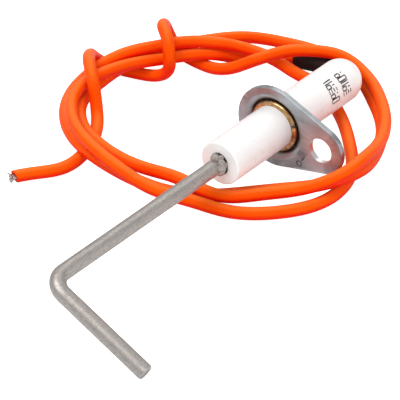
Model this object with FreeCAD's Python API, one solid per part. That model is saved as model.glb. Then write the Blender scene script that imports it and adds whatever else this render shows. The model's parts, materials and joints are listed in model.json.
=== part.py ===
import FreeCAD, Part
import math
import os

# Ignition electrode: a ceramic insulator held in a swivelling one-screw flange, a bent spark rod at
# the front, and a silicone cable that leaves the rear through a rubber boot and lies in a loose coil.
# Frame, in millimetres: the origin is the centre of the flange's front face on the ceramic's axis.
# The spark end points to -Y, the cable end to +Y, +Z is up and the flange's screw lobe points to +X.

# ---- driving dimensions ----
CLEARANCE = 0.05
END_GAP = 0.6

CERAMIC_RADIUS = 5.75
CERAMIC_FRONT = -21.3
CERAMIC_REAR = 34.2
CERAMIC_EDGE = 0.5
BORE_RADIUS = 2.5
RECESS_HEIGHT = 6.1
RECESS_WIDTH = 5.1
RECESS_DEPTH = 2.5

ROD_RADIUS = 2.0
ROD_BEND_POINT = (-0.3, -82.2, -0.5)
ROD_BEND_RADIUS = 4.2
ROD_TIP_LENGTH = 30.0
ROD_TIP_DROOP = 26.7
ROD_TIP_YAW = 2.0
ROD_TIP_CHAMFER = 0.3
ROD_INNER_END = 16.0
ROD_NECK_LENGTH = 4.0
ROD_NECK_RADIUS = 1.2
EAR_RADIUS = 1.1
EAR_OFFSET = 1.75
EAR_TURN = 28.0
EAR_FRONT = -23.2
EAR_REAR = -20.0

WIRE_RADIUS = 0.75
WIRE_RING_RADIUS = 6.1
WIRE_GAP_DEGREES = 9.0
FRONT_RING_PLACE = 0.85
REAR_RING_PLACE = 4.25

PLATE_THICKNESS = 1.5
PLATE_BIG_RADIUS = 10.9
LOBE_RADIUS = 6.45
LOBE_PITCH = 14.6
LOBE_DROOP = 5.0
SCREW_RADIUS = 3.3
CUP_DEPTH = 3.4
CUP_FLOOR = 2.2
CUP_OUTER_RADIUS = 8.3
CUP_FOOT = 0.6
CUP_EDGE = 0.4
FUNNEL_MOUTH_RADIUS = 9.7
FUNNEL_THROAT_RADIUS = 7.1
FUNNEL_SAG = 0.3
PLATE_BORE_RADIUS = 5.83
PLATE_ROUNDING = 0.3
MARK_PLACE = FreeCAD.Vector(8.3, 0, -7.4)
MARK_RADIUS = 0.85
MARK_STROKE = 0.35
MARK_DEPTH = 0.15
MARK_TURN = 34.0

SEAL_INNER_RADIUS = 5.85
SEAL_OUTER_RADIUS = 7.0
SEAL_FRONT = 1.65
SEAL_THICKNESS = 0.5

TERMINAL_RADIUS = 2.1
TERMINAL_LENGTH = 8.0

CABLE_RADIUS = 1.65
CORE_RADIUS = 0.65
STRAND_RADIUS = 0.12
STRAND_SPACING = 0.25
STRAND_LAYERS = 3
STRAND_STUB = 0.6
SWEEP_PIECES = 12
STRAND_OVERHANG = 1.9
STRAND_SPLAY = 0.35
STRAND_TWIST = 0.2
STRAND_RAGGEDNESS = 0.12
JACKET_CUT_DEGREES = 14.0

PORT_YAW = 33.0
PORT_PITCH = 33.0
PORT_RADIUS = 2.6
BOOT_ROOT_RADIUS = 3.1
BOOT_TIP_RADIUS = 2.6
BOOT_PLUG_RADIUS = 2.5
BOOT_LENGTH = 24.5
JACKET_START = 3.0
PORT_STRAIGHT_END = 8.0
CORE_STRAIGHT_MIDDLE = 19.5
CORE_STRAIGHT_END = 23.0

# ---- lie of the cable ----
# The coil rests on a plane that touches the flange's big end and the rod's tip, so it is tilted with it.
REST_TILT = 3.5
REST_DROP = 10.9
COIL_MIDDLE_X = -20.0
COIL_MIDDLE_Y = 7.0
LAYER_PITCH = 3.4

# One station is (angle in degrees about the coil's middle, radius, strands lying underneath).
# The turns are laid loosely by hand, so no single formula gives them.
FIRST_TURN = [
    (72, 34.3, 0.55), (88, 32.1, 0.5), (102, 31, 0.3), (112, 30, 0.05), (122, 28.4, 0.2),
    (132, 26.5, 0.85), (143, 26.8, 1.05), (159, 29, 0.98), (175, 30.7, 1.4), (191, 33.6, 1.85),
    (207, 38, 1.95), (225, 39.2, 2), (250, 38.4, 1.97), (265, 38, 1.6), (281, 38.2, 1),
    (295, 37.8, 0.5), (309, 39.6, 0.05), (324, 42, 0), (341, 43.4, 0), (359, 39.7, 0),
    (372, 34.8, 0), (391, 30.3, 0), (410, 28.4, 0), (430, 28, 0.05), (444, 26.8, 0.25),
]
SECOND_TURN = [
    (456, 26.6, 0.7), (469, 27.3, 1), (483, 27.2, 1.5), (493, 26.5, 1.95), (505, 28.2, 2.03),
    (522, 31.2, 1.95), (538, 34.6, 2), (547, 37.3, 1.7), (557, 40.3, 1.1), (572, 41.2, 1),
    (590, 40.2, 1), (603, 38.5, 0.96), (613, 37, 0.8), (626, 35.4, 0.5), (642, 33.9, 0.1), (656, 33, 0),
    (680, 32.4, 0), (692, 34.8, 0.2), (702, 40.1, 0.78), (712, 43, 0.98), (724, 42.4, 0.45),
    (734, 41.1, 0.05),
]
THIRD_TURN = [
    (745, 40.4, 0), (771, 38.6, 0), (793, 40, 0), (810, 39.6, 0), (824, 39, 0.05),
    (835, 37.5, 0.4), (848, 33.8, 1), (858, 32.9, 1.05), (885, 34, 1), (912, 35.4, 0.95),
    (927, 37.3, 0.9), (944, 36.9, 0.95), (959, 35, 1), (971, 32.8, 0.75), (983, 30.8, 0.55),
    (1001, 31, 0.9), (1010, 32.8, 1.07), (1025, 35.6, 0.64), (1041, 37.3, 0.8), (1055, 40.4, 1.09),
    (1067, 44.4, 1.85), (1079, 43.9, 1.9), (1092, 42.4, 1.25), (1106, 41.1, 1.03), (1122, 39.6, 1.06),
    (1140, 38.6, 1.15), (1149, 36.3, 1.7), (1159, 31.5, 2), (1171, 26, 2), (1180, 22.6, 1.74),
    (1190, 21.3, 1.25), (1202, 21.6, 0.55), (1212, 22.9, 0.2), (1220, 26.4, 0),
]
BINDING_WRAPS = [
    (1226, 31, 0), (1229, 36, 0.15), (1231, 38.5, 1.3), (1234, 36.5, 2.6), (1238, 32.2, 3.25),
    (1241, 27.5, 3.1), (1244, 24.8, 2.3), (1245, 24.6, 1), (1248, 27.4, 0.15), (1253, 32, 0.03),
    (1256, 38, 0), (1259, 42.6, 0.5), (1265, 41.8, 1.9), (1273, 39, 2.85), (1283, 35.6, 2.85),
    (1289, 34, 2), (1292, 33.4, 1), (1301, 33, 0.2), (1310, 34.6, 0), (1320, 39.7, 0),
]
CABLE_TAIL = [(1323, 44.5, 0), (1322, 51, 0), (1321, 58.4, 0)]

ORIGIN = FreeCAD.Vector(0, 0, 0)
X_AXIS = FreeCAD.Vector(1, 0, 0)
Y_AXIS = FreeCAD.Vector(0, 1, 0)
Z_AXIS = FreeCAD.Vector(0, 0, 1)
DOME_CENTRE = FreeCAD.Vector(0, CERAMIC_REAR - CERAMIC_RADIUS, 0)
PORT_DIRECTION = FreeCAD.Vector(
    -math.sin(math.radians(PORT_YAW)) * math.cos(math.radians(PORT_PITCH)),
    math.cos(math.radians(PORT_YAW)) * math.cos(math.radians(PORT_PITCH)),
    -math.sin(math.radians(PORT_PITCH)),
)


def on_axis(y):
    """Point on the ceramic's axis."""
    return FreeCAD.Vector(0, y, 0)


def from_dome(distance):
    """Point on the cable port's axis, measured from the dome's centre."""
    return DOME_CENTRE + PORT_DIRECTION * distance


def axis_cylinder(radius, start, end):
    """Cylinder about the ceramic's axis between two places along it."""
    return Part.makeCylinder(radius, end - start, on_axis(start), Y_AXIS)


def line(start, end):
    return Part.LineSegment(start, end).toShape()


def revolved(edges):
    """Solid turned about the ceramic's axis from a closed half outline."""
    outline = Part.Wire(Part.__sortEdges__(edges))
    return Part.Face(outline).revolve(ORIGIN, Y_AXIS, 360)


def turned(corners):
    """Solid turned about the ceramic's axis from (radius, y) corners."""
    points = [FreeCAD.Vector(radius, y, 0) for radius, y in corners]
    return revolved([line(a, b) for a, b in zip(points, points[1:] + points[:1])])


def save(shape, node):
    if not shape.isValid():
        raise ValueError(node + " is not a valid shape")
    shape.exportStep("parts/" + node + ".step")
    print(node, len(shape.Solids), "solid(s)", round(shape.Volume, 2), "mm3")


# ---- ceramic insulator ----
def ceramic_body():
    """Round bar with an eased front edge and a domed rear."""
    front = CERAMIC_FRONT
    ease = CERAMIC_EDGE
    radius = CERAMIC_RADIUS
    slant = 1 / math.sqrt(2)
    front_centre = FreeCAD.Vector(0, front, 0)
    edge_start = FreeCAD.Vector(radius - ease, front, 0)
    edge_middle = FreeCAD.Vector(radius - ease + ease * slant, front + ease - ease * slant, 0)
    edge_end = FreeCAD.Vector(radius, front + ease, 0)
    dome_start = FreeCAD.Vector(radius, DOME_CENTRE.y, 0)
    dome_middle = FreeCAD.Vector(radius * slant, DOME_CENTRE.y + radius * slant, 0)
    dome_top = FreeCAD.Vector(0, CERAMIC_REAR, 0)
    return revolved([
        line(front_centre, edge_start),
        Part.Arc(edge_start, edge_middle, edge_end).toShape(),
        line(edge_end, dome_start),
        Part.Arc(dome_start, dome_middle, dome_top).toShape(),
        line(dome_top, front_centre),
    ])


def ear_recess():
    """Slot with round ends in the front face, which the rod's ears sink into."""
    end_radius = RECESS_WIDTH / 2
    reach = RECESS_HEIGHT / 2 - end_radius
    corner = FreeCAD.Vector(-end_radius, CERAMIC_FRONT, -reach)
    slot = Part.makeBox(RECESS_WIDTH, RECESS_DEPTH, 2 * reach, corner)
    for side in (-1, 1):
        centre = FreeCAD.Vector(0, CERAMIC_FRONT, side * reach)
        slot = slot.fuse(Part.makeCylinder(end_radius, RECESS_DEPTH, centre, Y_AXIS))
    return slot


def inner_channel(play):
    """Space inside the ceramic: the bore from the front, turning into the oblique cable port."""
    bore = axis_cylinder(BORE_RADIUS - play, CERAMIC_FRONT, DOME_CENTRE.y)
    turn = Part.makeSphere(BORE_RADIUS - play, DOME_CENTRE)
    port = Part.makeCylinder(PORT_RADIUS - play, CERAMIC_RADIUS + 1, DOME_CENTRE, PORT_DIRECTION)
    return bore.fuse([turn, port])


def ceramic_insulator():
    body = ceramic_body().cut(inner_channel(0)).cut(ear_recess())
    for place in (FRONT_RING_PLACE, REAR_RING_PLACE):
        groove = Part.makeTorus(WIRE_RING_RADIUS, WIRE_RADIUS + CLEARANCE, on_axis(place), Y_AXIS)
        body = body.cut(groove)
    return body


# ---- electrode rod ----
def rod_directions():
    """Unit directions of the long arm, away from the ceramic, and of the bent arm."""
    bend_point = FreeCAD.Vector(*ROD_BEND_POINT)
    long_arm = (bend_point - on_axis(ROD_INNER_END)).normalize()
    droop = math.radians(ROD_TIP_DROOP)
    yaw = math.radians(ROD_TIP_YAW)
    bent_arm = FreeCAD.Vector(
        math.cos(droop) * math.cos(yaw),
        math.cos(droop) * math.sin(yaw),
        -math.sin(droop),
    )
    return bend_point, long_arm, bent_arm


def rod_ears():
    """Two swaged beads, above and below the rod, that key it into the recess."""
    beads = []
    turn = math.radians(EAR_TURN)
    outward = FreeCAD.Vector(-math.sin(turn), 0, math.cos(turn)) * EAR_OFFSET
    for side in (-1, 1):
        front = on_axis(EAR_FRONT + EAR_RADIUS) + outward * side
        rear = on_axis(EAR_REAR - EAR_RADIUS / 2) + outward * side
        bead = Part.makeCylinder(EAR_RADIUS, rear.y - front.y, front, Y_AXIS)
        beads.append(bead.fuse([Part.makeSphere(EAR_RADIUS, front), Part.makeSphere(EAR_RADIUS, rear)]))
    return beads


def electrode_rod():
    bend_point, long_arm, bent_arm = rod_directions()
    bend_axis = long_arm.cross(bent_arm).normalize()
    bend_angle = long_arm.getAngle(bent_arm)
    tangent = ROD_BEND_RADIUS * math.tan(bend_angle / 2)
    bend_start = bend_point - long_arm * tangent
    bend_end = bend_point + bent_arm * tangent
    bend_centre = bend_start + bend_axis.cross(long_arm) * ROD_BEND_RADIUS

    neck_start = on_axis(ROD_INNER_END) + long_arm * ROD_NECK_LENGTH
    neck = Part.makeCylinder(ROD_NECK_RADIUS, ROD_NECK_LENGTH, neck_start, long_arm * -1)
    arm = Part.makeCylinder(ROD_RADIUS, (bend_start - neck_start).Length, neck_start, long_arm)
    section = Part.Face(Part.Wire(Part.makeCircle(ROD_RADIUS, bend_start, long_arm)))
    bend = section.revolve(bend_centre, bend_axis, math.degrees(bend_angle))
    tip_length = ROD_TIP_LENGTH - tangent
    tip = Part.makeCylinder(ROD_RADIUS, tip_length - ROD_TIP_CHAMFER, bend_end, bent_arm)
    tip_ease = Part.makeCone(
        ROD_RADIUS,
        ROD_RADIUS - ROD_TIP_CHAMFER,
        ROD_TIP_CHAMFER,
        bend_end + bent_arm * (tip_length - ROD_TIP_CHAMFER),
        bent_arm,
    )
    return neck.fuse([arm, bend, tip, tip_ease] + rod_ears()).removeSplitter()


def front_cement():
    """Cement around the rod, from the recess to the terminal."""
    start = CERAMIC_FRONT + RECESS_DEPTH + CLEARANCE
    end = ROD_INNER_END - ROD_NECK_LENGTH - 2 * CLEARANCE
    long_arm = rod_directions()[1]
    rod_reach = ROD_INNER_END - CERAMIC_FRONT
    rod_space = Part.makeCylinder(ROD_RADIUS + CLEARANCE, rod_reach, on_axis(ROD_INNER_END), long_arm)
    return axis_cylinder(BORE_RADIUS - CLEARANCE, start, end).cut(rod_space)


def rod_terminal():
    """Crimp sleeve that joins the rod's neck to the cable's core."""
    start = ROD_INNER_END - ROD_NECK_LENGTH + 2 * CLEARANCE
    sleeve = axis_cylinder(TERMINAL_RADIUS, start, start + TERMINAL_LENGTH)
    neck_hole = axis_cylinder(ROD_NECK_RADIUS + CLEARANCE, start, ROD_INNER_END + CLEARANCE)
    core_hole = axis_cylinder(CORE_RADIUS + CLEARANCE, start, start + TERMINAL_LENGTH)
    return sleeve.cut(neck_hole).cut(core_hole)


# ---- flange and its retaining rings ----
def plate_outline():
    """Big round end and small lobe joined by two tangents, in the front face's plane."""
    droop = math.radians(LOBE_DROOP)
    lobe_centre = FreeCAD.Vector(LOBE_PITCH * math.cos(droop), 0, -LOBE_PITCH * math.sin(droop))
    tangent_angle = math.acos((PLATE_BIG_RADIUS - LOBE_RADIUS) / LOBE_PITCH)

    def point(centre, radius, angle):
        return centre + FreeCAD.Vector(radius * math.cos(angle), 0, radius * math.sin(angle))

    upper = tangent_angle - droop
    lower = -tangent_angle - droop
    big_upper = point(ORIGIN, PLATE_BIG_RADIUS, upper)
    big_lower = point(ORIGIN, PLATE_BIG_RADIUS, lower)
    big_far = point(ORIGIN, PLATE_BIG_RADIUS, math.pi - droop)
    lobe_upper = point(lobe_centre, LOBE_RADIUS, upper)
    lobe_lower = point(lobe_centre, LOBE_RADIUS, lower)
    lobe_far = point(lobe_centre, LOBE_RADIUS, -droop)
    outline = Part.Wire([
        Part.Arc(big_upper, big_far, big_lower).toShape(),
        line(big_lower, lobe_lower),
        Part.Arc(lobe_lower, lobe_far, lobe_upper).toShape(),
        line(lobe_upper, big_upper),
    ])
    return outline, lobe_centre


def funnel():
    """Flared mouth that leads to the cup the retaining ring and the seal sit in."""
    mouth = FreeCAD.Vector(FUNNEL_MOUTH_RADIUS, 0, 0)
    throat = FreeCAD.Vector(FUNNEL_THROAT_RADIUS, PLATE_THICKNESS, 0)
    flare_middle = FreeCAD.Vector(
        FUNNEL_THROAT_RADIUS + (FUNNEL_MOUTH_RADIUS - FUNNEL_THROAT_RADIUS) * FUNNEL_SAG,
        PLATE_THICKNESS * FUNNEL_SAG,
        0,
    )
    floor_edge = FreeCAD.Vector(FUNNEL_THROAT_RADIUS, CUP_FLOOR, 0)
    floor_middle = FreeCAD.Vector(0, CUP_FLOOR, 0)
    return revolved([
        Part.Arc(mouth, flare_middle, throat).toShape(),
        line(throat, floor_edge),
        line(floor_edge, floor_middle),
        line(floor_middle, ORIGIN),
        line(ORIGIN, mouth),
    ])


def punch_mark():
    """Shallow generic mark on the front face: a small ring and a dash."""
    ring = Part.makeCylinder(MARK_RADIUS, MARK_DEPTH, MARK_PLACE, Y_AXIS)
    ring = ring.cut(Part.makeCylinder(MARK_RADIUS - MARK_STROKE, MARK_DEPTH, MARK_PLACE, Y_AXIS))
    dash_corner = MARK_PLACE + FreeCAD.Vector(-MARK_STROKE / 2, 0, MARK_RADIUS + MARK_STROKE)
    dash = Part.makeBox(MARK_STROKE, MARK_DEPTH, 2 * MARK_RADIUS, dash_corner)
    mark = ring.fuse(dash)
    mark.rotate(MARK_PLACE, Y_AXIS, MARK_TURN)
    return mark


def mounting_flange():
    outline, lobe_centre = plate_outline()
    plate = Part.Face(outline).extrude(Y_AXIS * PLATE_THICKNESS)
    rims = [edge for edge in plate.Edges if abs(edge.BoundBox.YMax - edge.BoundBox.YMin) < CLEARANCE]
    plate = plate.makeFillet(PLATE_ROUNDING, rims)
    cup = turned([
        (0, PLATE_THICKNESS / 2),
        (CUP_OUTER_RADIUS + CUP_FOOT, PLATE_THICKNESS / 2),
        (CUP_OUTER_RADIUS + CUP_FOOT, PLATE_THICKNESS),
        (CUP_OUTER_RADIUS, PLATE_THICKNESS + CUP_FOOT),
        (CUP_OUTER_RADIUS, CUP_DEPTH - CUP_EDGE),
        (CUP_OUTER_RADIUS - CUP_EDGE, CUP_DEPTH),
        (0, CUP_DEPTH),
    ])
    body = plate.fuse(cup).cut(funnel())
    body = body.cut(axis_cylinder(PLATE_BORE_RADIUS, 0, CUP_DEPTH))
    body = body.cut(Part.makeCylinder(SCREW_RADIUS, PLATE_THICKNESS, lobe_centre, Y_AXIS))
    return body.cut(punch_mark()).removeSplitter()


def retaining_ring(place, gap_turn):
    """Split ring of round wire in one of the ceramic's grooves."""
    centre = FreeCAD.Vector(WIRE_RING_RADIUS, place, 0)
    section = Part.Face(Part.Wire(Part.makeCircle(WIRE_RADIUS, centre, Z_AXIS)))
    ring = section.revolve(on_axis(place), Y_AXIS, 360 - WIRE_GAP_DEGREES)
    ring.rotate(on_axis(place), Y_AXIS, gap_turn)
    return ring


def seal_ring():
    washer = axis_cylinder(SEAL_OUTER_RADIUS, SEAL_FRONT, SEAL_FRONT + SEAL_THICKNESS)
    return washer.cut(axis_cylinder(SEAL_INNER_RADIUS, SEAL_FRONT, SEAL_FRONT + SEAL_THICKNESS))


# ---- cable ----
def coil_point(angle, radius, layer):
    """Place in the coil's tilted frame, turned into the part's frame."""
    tilt = math.radians(REST_TILT)
    along_x = COIL_MIDDLE_X + radius * math.cos(math.radians(angle))
    along_y = COIL_MIDDLE_Y + radius * math.sin(math.radians(angle))
    height = CABLE_RADIUS + CLEARANCE + layer * LAYER_PITCH
    return FreeCAD.Vector(
        along_x,
        along_y * math.cos(tilt) - height * math.sin(tilt),
        along_y * math.sin(tilt) + height * math.cos(tilt) - REST_DROP,
    )


def cable_curve():
    """Centre line from the crimp sleeve, through the port and around the coil to the free end."""
    stations = FIRST_TURN + SECOND_TURN + THIRD_TURN + BINDING_WRAPS + CABLE_TAIL
    inside = [on_axis(y) for y in (ROD_INNER_END + END_GAP, CORE_STRAIGHT_MIDDLE, CORE_STRAIGHT_END)]
    port = [from_dome(JACKET_START), from_dome(PORT_STRAIGHT_END)]
    curve = Part.BSplineCurve()
    curve.interpolate(Points=inside + port + [coil_point(*station) for station in stations])
    return curve


def stretch(curve, start, end, pieces):
    """Wire along part of the curve, in several edges so that each face stays small."""
    first = curve.parameterAtDistance(start, curve.FirstParameter)
    last = curve.parameterAtDistance(end, curve.FirstParameter)
    step = (last - first) / pieces
    edges = [curve.toShape(first + index * step, first + (index + 1) * step) for index in range(pieces)]
    return Part.Wire(edges)


def place_on(curve, distance):
    """Point and direction at a distance along the curve."""
    parameter = curve.parameterAtDistance(distance, curve.FirstParameter)
    return curve.value(parameter), FreeCAD.Vector(*curve.tangent(parameter)[0])


def circle_at(curve, distance, radius):
    return Part.Wire(Part.makeCircle(radius, *place_on(curve, distance)))


def swept(curve, start, end, radii, pieces):
    """Round bar, or a tube when a second radius is given, along part of the curve."""
    section = Part.Face(circle_at(curve, start, radii[0]))
    for radius in radii[1:]:
        section = section.cut(Part.Face(circle_at(curve, start, radius)))
    return stretch(curve, start, end, pieces).makePipe(section).Solids[0]


def jacket_start(curve):
    """Distance along the curve at which the jacket begins, inside the port."""
    return curve.length(curve.FirstParameter, curve.parameter(from_dome(JACKET_START)))


def cable_jacket(curve):
    """Silicone tube with its free end cut off a little askew."""
    radii = [CABLE_RADIUS, CORE_RADIUS + CLEARANCE]
    tube = swept(curve, jacket_start(curve), curve.length(), radii, SWEEP_PIECES)
    end, direction = place_on(curve, curve.length())
    knife_turn = FreeCAD.Rotation(Z_AXIS, JACKET_CUT_DEGREES)
    knife_direction = knife_turn.multVec(direction)
    reach = CABLE_RADIUS * math.tan(math.radians(JACKET_CUT_DEGREES))
    knife = Part.makeCylinder(2 * CABLE_RADIUS, 2, end - direction * reach, knife_direction)
    return tube.cut(knife)


def cable_core(curve):
    """Conductor from the crimp sleeve to just short of the free end."""
    end = curve.length() - STRAND_STUB - CLEARANCE
    return swept(curve, 0, end, [CORE_RADIUS], SWEEP_PIECES)


def cable_strands(curve):
    """Bared wires at the free end, in rings around a middle one, splayed a little."""
    end, direction = place_on(curve, curve.length())
    sideways = direction.cross(Z_AXIS).normalize()
    upward = sideways.cross(direction)
    wires = []
    for ring in range(STRAND_LAYERS):
        count = max(1, 6 * ring)
        for index in range(count):
            angle = 2 * math.pi * index / count + STRAND_TWIST * ring
            outward = sideways * math.cos(angle) + upward * math.sin(angle)
            start = end - direction * STRAND_STUB + outward * (ring * STRAND_SPACING)
            overhang = STRAND_OVERHANG * (1 - STRAND_RAGGEDNESS * (index % 3))
            lean = direction * (STRAND_STUB + overhang) + outward * (ring * STRAND_SPLAY)
            wires.append(Part.makeCylinder(STRAND_RADIUS, lean.Length, start, lean))
    return Part.makeCompound(wires)


def cable_boot(curve):
    """Tapered rubber sleeve over the cable, seated on the dome, with a plug inside the port."""
    root = jacket_start(curve) + 1
    tip = jacket_start(curve) + BOOT_LENGTH
    ends = [circle_at(curve, root, BOOT_ROOT_RADIUS), circle_at(curve, tip, BOOT_TIP_RADIUS)]
    sleeve = stretch(curve, root, tip, 1).makePipeShell(ends, True, False)
    sleeve = sleeve.cut(Part.makeSphere(CERAMIC_RADIUS + CLEARANCE, DOME_CENTRE))
    plug_start = JACKET_START + 4 * CLEARANCE
    plug_length = CERAMIC_RADIUS - plug_start + 1
    plug = Part.makeCylinder(BOOT_PLUG_RADIUS, plug_length, from_dome(plug_start), PORT_DIRECTION)
    cable_space = swept(curve, root - 2, tip + 1, [CABLE_RADIUS + CLEARANCE], 1)
    return sleeve.fuse(plug).cut(cable_space)


def potting(curve):
    """Compound that fills the channel behind the crimp sleeve, around the core."""
    start = ROD_INNER_END - ROD_NECK_LENGTH + TERMINAL_LENGTH + 3 * CLEARANCE
    front = axis_cylinder(CERAMIC_RADIUS, CERAMIC_FRONT - 1, start)
    port_end = from_dome(JACKET_START - END_GAP)
    beyond = Part.makeCylinder(CERAMIC_RADIUS, 2 * CERAMIC_RADIUS, port_end, PORT_DIRECTION)
    core_space = swept(curve, 1, jacket_start(curve) + 1, [CORE_RADIUS + CLEARANCE], 1)
    return inner_channel(CLEARANCE).cut(front).cut(beyond).cut(core_space)


# ---- all nodes ----
os.makedirs("parts", exist_ok=True)
cable = cable_curve()
save(ceramic_insulator(), "ceramic_insulator")
save(electrode_rod(), "electrode_rod")
save(front_cement(), "front_cement")
save(rod_terminal(), "rod_terminal")
save(mounting_flange(), "mounting_flange")
save(retaining_ring(FRONT_RING_PLACE, -17), "front_retaining_ring")
save(retaining_ring(REAR_RING_PLACE, 150), "rear_retaining_ring")
save(seal_ring(), "seal_ring")
save(cable_boot(cable), "cable_boot")
save(potting(cable), "potting")
save(cable_core(cable), "cable_core")
save(cable_strands(cable), "cable_strands")
save(cable_jacket(cable), "cable_jacket")
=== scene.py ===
import json
import math
import random

import bmesh
import bpy
from mathutils import Matrix, Quaternion, Vector
from mathutils.bvhtree import BVHTree
from mathutils.noise import noise


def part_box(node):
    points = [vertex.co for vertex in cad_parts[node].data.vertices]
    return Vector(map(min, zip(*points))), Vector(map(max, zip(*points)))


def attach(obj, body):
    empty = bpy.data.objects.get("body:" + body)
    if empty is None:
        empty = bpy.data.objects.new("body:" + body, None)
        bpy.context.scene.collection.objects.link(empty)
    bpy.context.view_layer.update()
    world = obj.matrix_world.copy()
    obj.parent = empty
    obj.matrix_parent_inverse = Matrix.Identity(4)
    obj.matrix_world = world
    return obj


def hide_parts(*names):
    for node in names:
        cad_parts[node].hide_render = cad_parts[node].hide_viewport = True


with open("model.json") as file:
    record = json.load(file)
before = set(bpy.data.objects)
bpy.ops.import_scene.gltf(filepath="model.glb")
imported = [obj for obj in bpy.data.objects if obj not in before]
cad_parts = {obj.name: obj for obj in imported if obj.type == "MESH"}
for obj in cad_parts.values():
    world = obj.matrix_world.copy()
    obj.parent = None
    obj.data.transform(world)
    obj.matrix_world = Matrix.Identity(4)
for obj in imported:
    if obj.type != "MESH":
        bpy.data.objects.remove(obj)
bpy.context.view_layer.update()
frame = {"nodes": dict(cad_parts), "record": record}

# Looks of the ignition electrode: the glazed ceramic, the scaled rod, the plated flange and the brass
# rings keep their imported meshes. The cable, its bared wires and the boot are rebuilt along the centre
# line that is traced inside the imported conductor. The ceramic gets a raised ink marking, and lumps of
# squeezed-out cement fill the recess beside the rod.

MM = 0.001
RANDOM_SEED = 7

# ---- camera and stage ----
CAMERA_AZIMUTH = 38.67
CAMERA_ELEVATION = 33.74
CAMERA_ROLL = 0.3
CAMERA_DISTANCE = 536.6 * MM
CAMERA_AIM = Vector((-7.2, -19.9, -14.2)) * MM
CAMERA_LENS = 195.7
CAMERA_SENSOR = 36.0
CAMERA_NEAREST = 0.01
FLOOR_HALF_SIDE = 3.0
FLOOR_GAP = 0.2 * MM
FLOOR_GLOW_LIT = 0.05
FLOOR_GLOW_SEEN = 0.95
SKY_STRENGTH = 0.55
# name: (azimuth, elevation, distance in m, side in m, power in W)
STUDIO_LIGHTS = {
    "key_light": (-20, 62, 0.7, 0.5, 2.8),
    "fill_light": (90, 25, 0.8, 0.6, 1.5),
    "back_light": (200, 50, 0.8, 0.5, 1.0),
}

# ---- cable ----
TRACE_STEP = 1.0 * MM
TRACE_RAYS = 12
CAP_NEARNESS = 1.5 * TRACE_STEP
CAP_SQUARENESS = 0.97
SMOOTHING_REACH = 2
CURVE_PARTS = 4
RING_SPACING = 0.6 * MM
CABLE_SIDES = 28
CABLE_RADIUS = 1.65 * MM
CABLE_WAVER = 0.018 * MM
CABLE_WAVER_SIZE = 3 * MM
JACKET_HOLLOW = 3.0 * MM
JACKET_BORE_SHARE = 0.42
JACKET_LIP_SHARE = 0.93
JACKET_LIP_STEP = 0.05 * MM
JACKET_MOUTH_STEP = 0.02 * MM
JACKET_END_SKEW = 0.28
JACKET_END_RINGS = 4
JACKET_END_RAGGED = 0.06 * MM
JACKET_END_RAGGED_SIZE = 0.5 * MM

# ---- boot ----
BOOT_SPACING = 0.35 * MM
BOOT_SIDES = 40
BOOT_PLUG_START = 3.25 * MM
BOOT_PLUG_RADIUS = 2.45 * MM
BOOT_PLUG_EDGE = 0.5 * MM
BOOT_ROOT_RADIUS = 3.1 * MM
BOOT_TIP_RADIUS = 2.6 * MM
BOOT_LIP = 0.7 * MM
BOOT_LIP_STEPS = 6
BOOT_PLAY = 0.04 * MM
BOOT_WAVER = 0.03 * MM
BOOT_WAVER_SIZE = 2 * MM

# ---- bared wires ----
WIRE_RINGS = 3
WIRE_RADIUS = 0.13 * MM
WIRE_SPACING = 0.27 * MM
WIRE_ROOT = 2.2 * MM
WIRE_LENGTH = 2.0 * MM
WIRE_SHORTEST = 0.72
WIRE_SPLAY = 0.42 * MM
WIRE_LEAN = (0.6, 1.3)
WIRE_SWAY = 0.5
WIRE_UNEVENNESS = 0.2
WIRE_STEPS = 9
WIRE_SIDES = 8
WIRE_TIP_START = 0.97
WIRE_TIP_SHARE = 0.75

# ---- printed marks on the ceramic ----
MARK_ROWS = (19.0 * MM, 23.9 * MM)
MARK_FIRST_TURN = 9.0
MARK_TURN_STEP = 12.8
MARK_WIDTH = 1.0 * MM
MARK_HEIGHT = 2.9 * MM
MARK_STROKE = 0.4 * MM
MARK_LIFT = 0.02 * MM
MARK_STEPS = 6
MARK_ROW_SHIFT = 2
MARK_FADE = 0.8
MARK_FADE_SPREAD = 0.35
MARK_FADE_SIZE = 0.4 * MM

# ---- cement squeezed out of the recess, beside and on top of the rod: (x, y, z, radius) in mm ----
CEMENT_LUMPS = [
    (2.05, -23.1, 0.2, 1.05), (1.62, -22.6, 1.4, 0.9), (-0.22, -22.5, 2.08, 0.95),
    (0.8, -21.6, 2.2, 0.7), (1.3, -21.8, -0.9, 0.85), (1.9, -21.7, 0.6, 0.8),
]
CEMENT_VOXEL = 0.14 * MM
CEMENT_ROUGHNESS = 0.16 * MM
CEMENT_COARSE_SIZE = 0.9 * MM
CEMENT_FINE_SIZE = 0.35 * MM
CEMENT_FINE_SHARE = 0.4
CEMENT_FINE_OFFSET = Vector((5, 0, 0))


# ---------- small helpers ----------
def node_box(node):
    low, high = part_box(node)
    return Vector(low), Vector(high)


def new_object(name, mesh, body, material):
    """Object that rides with a CAD body and takes the material it is given."""
    piece = bpy.data.objects.new(name, mesh)
    bpy.context.scene.collection.objects.link(piece)
    mesh.materials.append(material)
    for face in mesh.polygons:
        face.use_smooth = True
    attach(piece, body)
    return piece


def finished_mesh(name, builder):
    """Mesh from a bmesh, with its faces turned outward."""
    bmesh.ops.recalc_face_normals(builder, faces=builder.faces)
    mesh = bpy.data.meshes.new(name)
    builder.to_mesh(mesh)
    builder.free()
    return mesh


# ---------- centre line of the cable ----------
def surface_tree(node):
    mesh = frame["nodes"][node].data
    return BVHTree.FromPolygons([v.co for v in mesh.vertices], [p.vertices for p in mesh.polygons])


def ring_directions(direction, count):
    """Directions around an axis, evenly spaced."""
    side = direction.orthogonal().normalized()
    return [Quaternion(direction, 2 * math.pi * i / count) @ side for i in range(count)]


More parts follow.
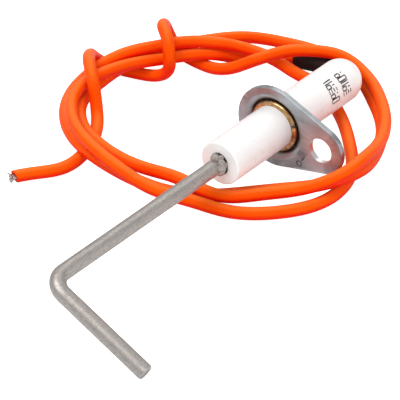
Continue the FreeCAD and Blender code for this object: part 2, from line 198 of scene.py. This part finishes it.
def centred(tree, place, direction):
    """The middle of the tube's wall around a place inside it."""
    hits = [tree.ray_cast(place, ray)[0] for ray in ring_directions(direction, TRACE_RAYS)]
    hits = [hit for hit in hits if hit is not None]
    if len(hits) < TRACE_RAYS:
        return None
    return sum(hits, Vector()) / len(hits)


def near_cap(tree, place, direction):
    """True when a ray along the line soon meets the flat end and not the side of a bend."""
    hit, normal, _, distance = tree.ray_cast(place, direction)
    if hit is None:
        return False
    return distance < CAP_NEARNESS and abs(normal.dot(direction)) > CAP_SQUARENESS


def trace_centre_line():
    """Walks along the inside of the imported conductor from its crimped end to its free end."""
    tree = surface_tree("cable_core")
    start = node_box("rod_terminal")[1].y
    direction = Vector((0, 1, 0))
    line = [Vector((0, start, 0))]
    while True:
        middle = centred(tree, line[-1] + direction * TRACE_STEP, direction)
        if middle is None or near_cap(tree, line[-1], direction):
            return line
        direction = (middle - line[-1]).normalized()
        line.append(middle)


def smoothed(line):
    """Moving average, with both ends kept."""
    result = []
    for index, point in enumerate(line):
        reach = min(SMOOTHING_REACH, index, len(line) - 1 - index)
        group = line[index - reach:index + reach + 1]
        result.append(sum(group, Vector()) / len(group))
    return result


def resampled(line, spacing):
    """Points at even distances along a Catmull-Rom curve through the line."""
    fine = []
    for index in range(len(line) - 1):
        before = line[max(index - 1, 0)]
        here = line[index]
        there = line[index + 1]
        after = line[min(index + 2, len(line) - 1)]
        for part in range(CURVE_PARTS):
            t = part / CURVE_PARTS
            fine.append(0.5 * (
                2 * here
                + (there - before) * t
                + (2 * before - 5 * here + 4 * there - after) * t ** 2
                + (3 * here - before - 3 * there + after) * t ** 3
            ))
    fine.append(line[-1])
    result = [fine[0]]
    walked = 0.0
    for a, b in zip(fine, fine[1:]):
        length = (b - a).length
        while walked + length >= spacing:
            a = a + (b - a) * ((spacing - walked) / length)
            length = (b - a).length
            walked = 0.0
            result.append(a)
        walked += length
    return result


def frames_along(line):
    """Direction, side and up at each point, turned no more than the line itself turns."""
    result = []
    side = None
    for index in range(len(line)):
        direction = (line[min(index + 1, len(line) - 1)] - line[max(index - 1, 0)]).normalized()
        if side is None:
            side = direction.orthogonal().normalized()
        side = (side - direction * side.dot(direction)).normalized()
        result.append((direction, side, direction.cross(side)))
    return result


# ---------- tubes ----------
def add_ring(builder, centre, side, up, radius, sides):
    corners = []
    for index in range(sides):
        angle = 2 * math.pi * index / sides
        reach = radius(angle) if callable(radius) else radius
        corners.append(builder.verts.new(centre + (side * math.cos(angle) + up * math.sin(angle)) * reach))
    return corners


def bridge(builder, ring, following):
    count = len(ring)
    for index in range(count):
        after = (index + 1) % count
        builder.faces.new((ring[index], ring[after], following[after], following[index]))


def add_bar(builder, line, radius_at, sides):
    """Closed round bar along a line; radius_at gives the radius from the share of the line walked."""
    rings = []
    for index, (direction, side, up) in enumerate(frames_along(line)):
        rings.append(add_ring(builder, line[index], side, up, radius_at(index / (len(line) - 1)), sides))
    for ring, following in zip(rings, rings[1:]):
        bridge(builder, ring, following)
    builder.faces.new(rings[0])
    builder.faces.new(rings[-1])


def cable_mesh(line):
    """Jacket with a slightly uneven wall and a skewed, open free end."""
    builder = bmesh.new()
    frames = frames_along(line)
    rings = []
    for centre, (_, side, up) in zip(line, frames):

        def radius(angle, centre=centre, side=side, up=up):
            place = centre + (side * math.cos(angle) + up * math.sin(angle)) * CABLE_RADIUS
            return CABLE_RADIUS + CABLE_WAVER * noise(place / CABLE_WAVER_SIZE)

        rings.append(add_ring(builder, centre, side, up, radius, CABLE_SIDES))
    direction, side, up = frames[-1]
    end = line[-1]
    edge = JACKET_LIP_SHARE * CABLE_RADIUS
    bore = JACKET_BORE_SHARE * CABLE_RADIUS
    rings.append(add_ring(builder, end + direction * JACKET_LIP_STEP, side, up, edge, CABLE_SIDES))
    rings.append(add_ring(builder, end + direction * JACKET_MOUTH_STEP, side, up, bore, CABLE_SIDES))
    for ring in rings[-JACKET_END_RINGS:]:
        for index, corner in enumerate(ring):
            angle = 2 * math.pi * index / CABLE_SIDES
            ragged = JACKET_END_RAGGED * noise(corner.co / JACKET_END_RAGGED_SIZE)
            corner.co += direction * (CABLE_RADIUS * JACKET_END_SKEW * math.cos(angle) + ragged)
    inner = add_ring(builder, end - direction * JACKET_HOLLOW, side, up, bore, CABLE_SIDES)
    rings.append(inner)
    for ring, following in zip(rings, rings[1:]):
        bridge(builder, ring, following)
    builder.faces.new(inner)
    builder.faces.new(rings[0])
    return finished_mesh("cable_jacket", builder)


# ---------- procedural materials ----------
class Look:
    """A principled material with short calls for the textures that drive it."""

    def __init__(self, name, colour, roughness, metallic=0.0):
        self.material = bpy.data.materials.new(name)
        self.material.use_nodes = True
        self.tree = self.material.node_tree
        self.shader = self.tree.nodes["Principled BSDF"]
        self.shader.inputs["Base Color"].default_value = (*colour, 1)
        self.shader.inputs["Roughness"].default_value = roughness
        self.shader.inputs["Metallic"].default_value = metallic
        self.place = self.tree.nodes.new("ShaderNodeTexCoord").outputs["Object"]

    def link(self, output, target):
        self.tree.links.new(output, target)

    def set(self, name, value):
        self.shader.inputs[name].default_value = value

    def stretched(self, scale):
        """Object coordinates scaled differently along each axis."""
        mapping = self.tree.nodes.new("ShaderNodeMapping")
        mapping.inputs["Scale"].default_value = scale
        self.link(self.place, mapping.inputs["Vector"])
        return mapping.outputs["Vector"]

    def noise(self, size, detail=3.0, roughness=0.55, place=None):
        """Noise whose features are about size metres wide."""
        texture = self.tree.nodes.new("ShaderNodeTexNoise")
        texture.inputs["Scale"].default_value = 1 / size
        texture.inputs["Detail"].default_value = detail
        texture.inputs["Roughness"].default_value = roughness
        self.link(place or self.place, texture.inputs["Vector"])
        return texture.outputs["Fac"]

    def cells(self, size):
        texture = self.tree.nodes.new("ShaderNodeTexVoronoi")
        texture.inputs["Scale"].default_value = 1 / size
        self.link(self.place, texture.inputs["Vector"])
        return texture.outputs["Color"]

    def spread(self, value, low, high, start=0.3, end=0.7):
        """Maps start..end of a value to low..high."""
        node = self.tree.nodes.new("ShaderNodeMapRange")
        node.inputs["From Min"].default_value = start
        node.inputs["From Max"].default_value = end
        node.inputs["To Min"].default_value = low
        node.inputs["To Max"].default_value = high
        self.link(value, node.inputs["Value"])
        return node.outputs["Result"]

    def mixed(self, factor, first, second):
        """Blend of two colours, or of an earlier result and a colour."""
        node = self.tree.nodes.new("ShaderNodeMix")
        node.data_type = "RGBA"
        self.link(factor, node.inputs["Factor"])
        for socket, value in ((node.inputs[6], first), (node.inputs[7], second)):
            if isinstance(value, tuple):
                socket.default_value = (*value, 1)
            else:
                self.link(value, socket)
        return node.outputs[2]

    def edge_wear_and_painted_light(self):
        """High on outer edges, low inside corners: the mask for rubbed edges, painted edge highlights and
        painted shade in hollows.
        """
        geometry = self.tree.nodes.new("ShaderNodeNewGeometry")
        return geometry.outputs["Pointiness"]

    def facing_up(self):
        """The height of the surface's direction: 1 on top, 0 on upright sides, -1 underneath."""
        geometry = self.tree.nodes.new("ShaderNodeNewGeometry")
        split = self.tree.nodes.new("ShaderNodeSeparateXYZ")
        self.link(geometry.outputs["Normal"], split.inputs["Vector"])
        return split.outputs["Z"]

    def colour(self, output):
        self.link(output, self.shader.inputs["Base Color"])

    def rough(self, value, low, high):
        self.link(self.spread(value, low, high), self.shader.inputs["Roughness"])

    def bump(self, height, depth):
        """Relief depth metres high, added to any relief given before."""
        node = self.tree.nodes.new("ShaderNodeBump")
        node.inputs["Strength"].default_value = 1.0
        node.inputs["Distance"].default_value = depth
        self.link(height, node.inputs["Height"])
        previous = self.shader.inputs["Normal"].links
        if previous:
            self.link(previous[0].from_socket, node.inputs["Normal"])
        self.link(node.outputs["Normal"], self.shader.inputs["Normal"])


def silicone():
    look = Look("silicone_red", (1.0, 0.09, 0.001), 0.42)
    cloud = look.noise(9 * MM)
    base = look.mixed(look.spread(cloud, 0, 1), (0.95, 0.07, 0.0005), (1.0, 0.1, 0.001))
    # Painted shade: faces that turn downward are blended to a deeper red.
    with_painted_underside_shade = look.mixed(look.spread(look.facing_up(), 1, 0, -0.2, 0.4), base, (0.88, 0.015, 0.0003))
    # Painted highlight: faces that turn upward are blended to a lighter orange along the crests.
    look.colour(look.mixed(look.spread(look.facing_up(), 0, 0.75, 0.7, 0.99), with_painted_underside_shade, (1.0, 0.19, 0.025)))
    look.rough(look.noise(1.2 * MM, 4), 0.36, 0.5)
    look.bump(look.noise(0.35 * MM, 5), 0.006 * MM)
    look.bump(look.noise(2.5 * MM, 2), 0.02 * MM)
    look.set("IOR", 1.25)
    look.set("Specular IOR Level", 0.4)
    look.set("Specular Tint", (1.0, 0.5, 0.25, 1))
    look.set("Subsurface Weight", 0.04)
    look.set("Subsurface Radius", (1.0, 0.15, 0.05))
    look.set("Subsurface Scale", 0.8 * MM)
    return look.material


def glazed_ceramic():
    look = Look("glazed_ceramic", (0.92, 0.9, 0.88), 0.3)
    cloud = look.noise(6 * MM, 2)
    fleck = look.spread(look.noise(0.28 * MM, 2), 0, 1, 0.72, 0.78)
    base = look.mixed(look.spread(cloud, 0, 1), (0.96, 0.945, 0.935), (0.93, 0.91, 0.9))
    look.colour(look.mixed(fleck, base, (0.6, 0.55, 0.5)))
    look.rough(look.noise(1.5 * MM, 4), 0.24, 0.4)
    look.bump(look.noise(0.6 * MM, 3), 0.004 * MM)
    look.set("Coat Weight", 0.25)
    look.set("Coat Roughness", 0.15)
    return look.material


def heating_alloy():
    look = Look("heating_alloy", (0.35, 0.32, 0.29), 0.4, 1.0)
    along = look.stretched((1, 0.12, 1))
    streak = look.noise(0.35 * MM, 4, place=along)
    scale = look.noise(0.7 * MM, 5, 0.65)
    base = look.mixed(look.spread(streak, 0, 1), (0.5, 0.465, 0.44), (0.34, 0.31, 0.29))
    grain = look.noise(0.28 * MM, 4, 0.7)
    speckled = look.mixed(look.spread(grain, 0, 0.6, 0.42, 0.62), base, (0.66, 0.62, 0.59))
    look.colour(look.mixed(look.spread(scale, 0, 0.35), speckled, (0.27, 0.24, 0.225)))
    look.rough(scale, 0.4, 0.62)
    look.bump(streak, 0.01 * MM)
    look.bump(look.noise(0.25 * MM, 4), 0.012 * MM)
    return look.material


def plated_steel():
    look = Look("plated_steel", (0.5, 0.5, 0.51), 0.35, 1.0)
    streak = look.noise(0.2 * MM, 4, place=look.stretched((0.15, 1, 1)))
    cloud = look.noise(3.5 * MM, 4)
    spangle = look.cells(0.7 * MM)
    base = look.mixed(look.spread(cloud, 0, 1), (0.27, 0.285, 0.3), (0.44, 0.47, 0.5))
    tinted = look.mixed(look.spread(spangle, 0, 0.18, 0, 1), base, (0.56, 0.58, 0.6))
    # Painted shade: hollows and recesses, such as the stamped mark, are darkened.
    with_painted_recess_shade = look.mixed(look.spread(look.edge_wear_and_painted_light(), 0.8, 0, 0.42, 0.49), tinted, (0.1, 0.085, 0.08))
    # Outer edges lighter: rubbed plating, and a painted highlight along the rounded edges.
    look.colour(look.mixed(look.spread(look.edge_wear_and_painted_light(), 0, 0.9, 0.52, 0.6), with_painted_recess_shade, (0.8, 0.8, 0.8)))
    look.rough(cloud, 0.26, 0.44)
    look.bump(streak, 0.004 * MM)
    look.bump(look.noise(0.5 * MM, 4), 0.006 * MM)
    return look.material


def brass(name, bright, dull):
    look = Look(name, bright, 0.3, 1.0)
    tarnish = look.noise(1.1 * MM, 4)
    look.colour(look.mixed(look.spread(tarnish, 0, 1), bright, dull))
    look.rough(tarnish, 0.2, 0.42)
    look.bump(look.noise(0.15 * MM, 3), 0.004 * MM)
    return look.material


def seal_fibre():
    look = Look("seal_fibre", (0.02, 0.02, 0.02), 0.8)
    fibre = look.noise(0.3 * MM, 5, place=look.stretched((1, 4, 1)))
    look.colour(look.mixed(look.spread(fibre, 0, 1), (0.012, 0.01, 0.01), (0.05, 0.045, 0.04)))
    look.rough(fibre, 0.65, 0.9)
    look.bump(fibre, 0.03 * MM)
    return look.material


def cement():
    look = Look("cement", (0.6, 0.56, 0.5), 0.9)
    grain = look.noise(0.25 * MM, 5)
    look.colour(look.mixed(look.spread(grain, 0, 1), (0.68, 0.64, 0.57), (0.42, 0.38, 0.33)))
    look.rough(grain, 0.8, 0.98)
    look.bump(grain, 0.06 * MM)
    return look.material


def rough_cement():
    """The same cement where it has baked on beside the rod: grey-brown, with painted shade darkening its
    hollows.
    """
    look = Look("rough_cement", (0.3, 0.26, 0.23), 0.75)
    grain = look.noise(0.4 * MM, 5, 0.65)
    base = look.mixed(look.spread(grain, 0, 1), (0.5, 0.46, 0.43), (0.2, 0.155, 0.135))
    # Painted shade: creases and hollows between the lumps are darkened.
    look.colour(look.mixed(look.spread(look.edge_wear_and_painted_light(), 0, 1, 0.48, 0.4), base, (0.06, 0.04, 0.035)))
    look.rough(grain, 0.6, 0.9)
    look.bump(grain, 0.05 * MM)
    return look.material


def potting_compound():
    look = Look("potting_compound", (0.06, 0.06, 0.06), 0.5)
    cloud = look.noise(0.8 * MM, 3)
    look.colour(look.mixed(look.spread(cloud, 0, 1), (0.04, 0.04, 0.045), (0.09, 0.085, 0.08)))
    look.rough(cloud, 0.4, 0.65)
    look.bump(cloud, 0.03 * MM)
    return look.material


def boot_rubber():
    look = Look("boot_rubber", (0.012, 0.009, 0.012), 0.55)
    dust = look.noise(1.8 * MM, 5, 0.7)
    look.colour(look.mixed(look.spread(dust, 0, 1), (0.007, 0.003, 0.003), (0.024, 0.013, 0.012)))
    look.rough(dust, 0.5, 0.75)
    look.set("Specular IOR Level", 0.3)
    look.bump(look.noise(0.3 * MM, 4), 0.012 * MM)
    return look.material


def tinned_copper():
    look = Look("tinned_copper", (0.72, 0.68, 0.62), 0.3, 1.0)
    wear = look.noise(0.5 * MM, 4)
    look.colour(look.mixed(look.spread(wear, 0, 1), (0.85, 0.83, 0.8), (0.2, 0.15, 0.13)))
    look.rough(wear, 0.22, 0.45)
    look.bump(look.noise(0.08 * MM, 3), 0.003 * MM)
    return look.material


def marking_ink():
    look = Look("marking_ink", (0.03, 0.02, 0.03), 0.6)
    wear = look.noise(0.35 * MM, 4, 0.7)
    look.colour(look.mixed(look.spread(wear, 0, 1, 0.5, 0.8), (0.018, 0.012, 0.016), (0.14, 0.11, 0.12)))
    look.rough(wear, 0.5, 0.75)
    look.bump(wear, 0.006 * MM)
    return look.material


LOOKS = {
    "glazed_ceramic": glazed_ceramic(),
    "heating_alloy": heating_alloy(),
    "plated_steel": plated_steel(),
    "ring_brass": brass("ring_brass", (0.78, 0.5, 0.24), (0.36, 0.17, 0.07)),
    "seal_fibre": seal_fibre(),
    "cement": cement(),
    "crimp_brass": brass("crimp_brass", (0.85, 0.64, 0.34), (0.6, 0.4, 0.18)),
    "potting_compound": potting_compound(),
    "boot_rubber": boot_rubber(),
    "tinned_copper": tinned_copper(),
    "silicone_red": silicone(),
}


def dress_cad_nodes():
    """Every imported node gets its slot's material."""
    slots = {part["node"]: part["material_slot"] for part in frame["record"]["subparts"]}
    for node, piece in frame["nodes"].items():
        for slot in piece.material_slots:
            slot.material = LOOKS[slots[node]]


# ---------- cable ----------
def walled_in(tree, centre_line, index, reach):
    """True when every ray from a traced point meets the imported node's wall within reach."""
    direction = (centre_line[index + 1] - centre_line[index]).normalized()
    rays = ring_directions(direction, TRACE_RAYS)
    return all(tree.ray_cast(centre_line[index], ray, reach)[0] is not None for ray in rays)


def first_inside(centre_line, node, reach):
    """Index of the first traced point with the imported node's wall all around it."""
    tree = surface_tree(node)
    for index in range(len(centre_line) - 1):
        if walled_in(tree, centre_line, index, reach):
            return index
    return 0


def build_cable(centre_line):
    start = first_inside(centre_line, "cable_jacket", CABLE_RADIUS)
    line = resampled(centre_line[start:], RING_SPACING)
    piece = new_object("cable_skin", cable_mesh(line), "insulator", LOOKS["silicone_red"])
    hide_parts("cable_jacket")


# ---------- boot ----------
def boot_profile(length, root, dome_radius):
    """(distance, radius) along the outside, from the plug in the port over the dome to the rounded lip."""
    profile = [(0.0, BOOT_PLUG_RADIUS), (BOOT_PLUG_EDGE, BOOT_PLUG_RADIUS)]
    for radius in (BOOT_PLUG_RADIUS, (BOOT_PLUG_RADIUS + BOOT_ROOT_RADIUS) / 2, BOOT_ROOT_RADIUS):
        profile.append((math.sqrt(dome_radius ** 2 - radius ** 2) - root, radius))
    seat = profile[-1][0]
    steps = int((length - BOOT_LIP - seat) / BOOT_SPACING)
    for step in range(1, steps + 1):
        share = step / steps
        radius = BOOT_ROOT_RADIUS + (BOOT_TIP_RADIUS - BOOT_ROOT_RADIUS) * share
        profile.append((seat + (length - BOOT_LIP - seat) * share, radius))
    inner = CABLE_RADIUS + BOOT_PLAY
    for step in range(1, BOOT_LIP_STEPS + 1):
        angle = math.pi / 2 * step / BOOT_LIP_STEPS
        radius = inner + (BOOT_TIP_RADIUS - inner) * math.cos(angle)
        profile.append((length - BOOT_LIP + BOOT_LIP * math.sin(angle), radius))
    profile += [(length - BOOT_LIP, inner), (length / 2, inner), (0.0, inner)]
    return profile


def boot_line(centre_line, dome_centre):
    """The stretch of the centre line that the boot covers, from its plug in the port to its tip."""
    tree = surface_tree("cable_boot")
    inside = [i for i, p in enumerate(centre_line) if (p - dome_centre).length < BOOT_PLUG_START]
    later = range(inside[-1], len(centre_line) - 1)
    covered = [i for i in later if walled_in(tree, centre_line, i, BOOT_PLUG_RADIUS)]
    return resampled(centre_line[inside[-1] + 1:covered[-1] + 2], BOOT_SPACING)


def build_boot(centre_line):
    """Tapered rubber sleeve over the cable, plugged into the ceramic's port and seated on its dome."""
    low, high = node_box("ceramic_insulator")
    dome_radius = (high.x - low.x) / 2
    dome_centre = Vector((0, high.y - dome_radius, 0))
    line = boot_line(centre_line, dome_centre)
    frames = frames_along(line)
    root = (line[0] - dome_centre).length
    length = BOOT_SPACING * (len(line) - 1)
    builder = bmesh.new()
    rings = []
    for distance, reach in boot_profile(length, root, dome_radius):
        place = min(max(distance / BOOT_SPACING, 0), len(line) - 1)
        index = min(int(place), len(line) - 2)
        centre = line[index].lerp(line[index + 1], place - index)
        side, up = frames[index][1:]

        def radius(angle, centre=centre, side=side, up=up, reach=reach):
            if reach < BOOT_PLUG_RADIUS:
                return reach
            outward = side * math.cos(angle) + up * math.sin(angle)
            return reach + BOOT_WAVER * noise((centre + outward * reach) / BOOT_WAVER_SIZE)

        rings.append(add_ring(builder, centre, side, up, radius, BOOT_SIDES))
    for ring, following in zip(rings, rings[1:] + rings[:1]):
        bridge(builder, ring, following)
    mesh = finished_mesh("boot_sleeve", builder)
    piece = new_object("boot_sleeve", mesh, "insulator", LOOKS["boot_rubber"])
    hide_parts("cable_boot")


# ---------- bared wires ----------
def wire_line(end, frame_at_end, ring, angle, length):
    """One wire that leaves the jacket straight and leans outward towards its tip."""
    direction, side, up = frame_at_end
    outward = side * math.cos(angle) + up * math.sin(angle)
    across = direction.cross(outward)
    lean = random.uniform(*WIRE_LEAN) * WIRE_SPLAY * ring
    sway = random.uniform(-WIRE_SWAY, WIRE_SWAY) * WIRE_SPLAY
    points = []
    for step in range(WIRE_STEPS + 1):
        share = step / WIRE_STEPS
        along = -WIRE_ROOT + (WIRE_ROOT + length) * share
        free = max(0.0, along / length)
        spread = outward * (ring * WIRE_SPACING + lean * free ** 2) + across * (sway * free ** 2)
        points.append(end + direction * along + spread)
    return points


def tip_rounded(share):
    """Wire radius: even, and eased over the last stretch."""
    return WIRE_RADIUS * (1 if share < WIRE_TIP_START else WIRE_TIP_SHARE)


def build_wires(centre_line):
    """Bared wires that fan out of the jacket's free end."""
    line = resampled(centre_line, RING_SPACING)
    frame_at_end = frames_along(line)[-1]
    builder = bmesh.new()
    for ring in range(WIRE_RINGS):
        count = max(1, 6 * ring)
        for index in range(count):
            shift = random.uniform(-WIRE_UNEVENNESS, WIRE_UNEVENNESS)
            angle = 2 * math.pi * (index + shift) / count
            length = WIRE_LENGTH * random.uniform(WIRE_SHORTEST, 1.0)
            points = wire_line(line[-1], frame_at_end, ring, angle, length)
            add_bar(builder, points, tip_rounded, WIRE_SIDES)
    mesh = finished_mesh("bared_wires", builder)
    piece = new_object("bared_wires", mesh, "insulator", LOOKS["tinned_copper"])
    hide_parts("cable_strands")


# ---------- cement at the rod ----------
def build_cement():
    """Lumpy mass that fills the recess beside the rod and stands out of it."""
    builder = bmesh.new()
    for x, y, z, radius in CEMENT_LUMPS:
        lump = bmesh.ops.create_icosphere(builder, subdivisions=3, radius=radius * MM)
        bmesh.ops.translate(builder, verts=lump["verts"], vec=Vector((x, y, z)) * MM)
    rough = bpy.data.objects.new("rough_cement", finished_mesh("rough_cement", builder))
    bpy.context.scene.collection.objects.link(rough)
    remesh = rough.modifiers.new("remesh", "REMESH")
    remesh.mode = "VOXEL"
    remesh.voxel_size = CEMENT_VOXEL
    joined = rough.evaluated_get(bpy.context.evaluated_depsgraph_get())
    mesh = bpy.data.meshes.new_from_object(joined)
    bpy.data.objects.remove(rough)
    for vertex in mesh.vertices:
        coarse = noise(vertex.co / CEMENT_COARSE_SIZE)
        fine = noise(vertex.co / CEMENT_FINE_SIZE + CEMENT_FINE_OFFSET)
        vertex.co += vertex.normal * (CEMENT_ROUGHNESS * (coarse + CEMENT_FINE_SHARE * fine))
    new_object("squeezed_cement", mesh, "insulator", rough_cement())


# ---------- printed marks ----------
def mark_shapes():
    """Plain strokes, each from one (across, along) corner to another, in shares of the mark's size."""
    frame_box = [((-1, -1), (1, -1)), ((1, -1), (1, 1)), ((1, 1), (-1, 1)), ((-1, 1), (-1, -1))]
    low_box = [((-1, -1), (1, -1)), ((1, -1), (1, 0)), ((1, 0), (-1, 0)), ((-1, 0), (-1, -1))]
    ladder = [((-1, place), (1, place)) for place in (-1, -0.33, 0.33, 1)]
    twin = [((-0.7, -1), (-0.7, 1)), ((0.7, -1), (0.7, 1))]
    ticks = [((place, place), (place, place + 0.3)) for place in (-0.8, -0.1, 0.6)]
    return [frame_box, ticks + low_box, ladder, low_box + [((0, 0.5), (0, 1))], twin]


def add_stroke(builder, radius, turn, along, start, end):
    """Thin raised bar that follows the ceramic's round surface."""
    across_start, along_start = start
    across_end, along_end = end
    run = Vector(((across_end - across_start) * MARK_WIDTH / 2, (along_end - along_start) * MARK_HEIGHT / 2))
    sideways = Vector((-run.y, run.x)).normalized() * (MARK_STROKE / 2)
    origin = Vector((across_start * MARK_WIDTH / 2, along_start * MARK_HEIGHT / 2))
    rings = []
    for step in range(MARK_STEPS + 1):
        middle = origin + run * (step / MARK_STEPS)
        sample = Vector((middle.x, middle.y, turn * MM))
        faded = MARK_FADE + MARK_FADE_SPREAD * noise(sample / MARK_FADE_SIZE)
        corners = []
        for edge, lift in ((1, MARK_LIFT), (-1, MARK_LIFT), (-1, -MARK_LIFT), (1, -MARK_LIFT)):
            spot = middle + sideways * (edge * faded)
            angle = math.radians(turn) + spot.x / radius
            reach = radius + lift
            place = (reach * math.cos(angle), along + spot.y, reach * math.sin(angle))
            corners.append(builder.verts.new(place))
        rings.append(corners)
    for ring, following in zip(rings, rings[1:]):
        bridge(builder, ring, following)
    builder.faces.new(rings[0])
    builder.faces.new(rings[-1])


def build_marks():
    """Two rows of generic ink marks around the rear of the ceramic."""
    low, high = node_box("ceramic_insulator")
    radius = (high.x - low.x) / 2
    shapes = mark_shapes()
    builder = bmesh.new()
    for row, along in enumerate(MARK_ROWS):
        for column in range(len(shapes)):
            turn = MARK_FIRST_TURN + MARK_TURN_STEP * column
            for start, end in shapes[(column + MARK_ROW_SHIFT * row) % len(shapes)]:
                add_stroke(builder, radius, turn, along, start, end)
    mesh = finished_mesh("printed_marks", builder)
    piece = new_object("printed_marks", mesh, "insulator", marking_ink())
    for face in piece.data.polygons:
        face.use_smooth = False


# ---------- stage ----------
def build_floor():
    """Pale plane that the flange's big end and the rod's tip touch."""
    flange_low = node_box("mounting_flange")[0].z
    tip_low = node_box("electrode_rod")[0]
    slope = (flange_low - tip_low.z) / -tip_low.y
    mesh = bpy.data.meshes.new("floor")
    half = FLOOR_HALF_SIDE
    height = flange_low - FLOOR_GAP
    sides = ((-half, -half), (half, -half), (half, half), (-half, half))
    corners = [(x, y, height + slope * y) for x, y in sides]
    mesh.from_pydata(corners, [], [(0, 1, 2, 3)])
    floor = bpy.data.objects.new("floor", mesh)
    bpy.context.scene.collection.objects.link(floor)
    look = Look("pale_floor", (0.85, 0.85, 0.85), 0.9)
    look.set("Specular IOR Level", 0.0)
    look.set("Emission Color", (1, 1, 1, 1))
    seen = look.tree.nodes.new("ShaderNodeLightPath").outputs["Is Camera Ray"]
    glow = look.spread(seen, FLOOR_GLOW_LIT, FLOOR_GLOW_SEEN, 0, 1)
    look.link(glow, look.shader.inputs["Emission Strength"])
    mesh.materials.append(look.material)


def direction_to(azimuth, elevation):
    """Unit direction from the object, with azimuth 0 in front of it at -Y and 90 at +X."""
    turn = math.radians(azimuth)
    rise = math.radians(elevation)
    return Vector((math.sin(turn) * math.cos(rise), -math.cos(turn) * math.cos(rise), math.sin(rise)))


def area_light(name, azimuth, elevation, distance, size, power):
    """Soft square light that shines on the object from a direction."""
    data = bpy.data.lights.new(name, "AREA")
    data.shape = "SQUARE"
    data.size = size
    data.energy = power
    light = bpy.data.objects.new(name, data)
    bpy.context.scene.collection.objects.link(light)
    away = direction_to(azimuth, elevation)
    light.location = CAMERA_AIM + away * distance
    light.rotation_euler = away.to_track_quat("Z", "Y").to_euler()


def build_lights():
    for name, setting in STUDIO_LIGHTS.items():
        area_light(name, *setting)
    world = bpy.data.worlds.new("studio")
    world.use_nodes = True
    background = world.node_tree.nodes["Background"]
    background.inputs["Color"].default_value = (1, 1, 1, 1)
    background.inputs["Strength"].default_value = SKY_STRENGTH
    bpy.context.scene.world = world


def build_camera():
    data = bpy.data.cameras.new("camera")
    data.lens = CAMERA_LENS
    data.sensor_width = CAMERA_SENSOR
    data.clip_start = CAMERA_NEAREST
    camera = bpy.data.objects.new("camera", data)
    bpy.context.scene.collection.objects.link(camera)
    away = direction_to(CAMERA_AZIMUTH, CAMERA_ELEVATION)
    place = Matrix.Translation(CAMERA_AIM + away * CAMERA_DISTANCE)
    heading = Matrix.Rotation(math.radians(CAMERA_AZIMUTH), 4, "Z")
    tilt = Matrix.Rotation(math.radians(90 - CAMERA_ELEVATION), 4, "X")
    roll = Matrix.Rotation(math.radians(-CAMERA_ROLL), 4, "Z")
    camera.matrix_world = place @ heading @ tilt @ roll
    bpy.context.scene.camera = camera


random.seed(RANDOM_SEED)
dress_cad_nodes()
CENTRE_LINE = smoothed(trace_centre_line())
build_cable(CENTRE_LINE)
build_boot(CENTRE_LINE)
build_wires(CENTRE_LINE)
build_cement()
build_marks()
build_floor()
build_lights()
build_camera()
bpy.context.scene.view_settings.view_transform = "Standard"
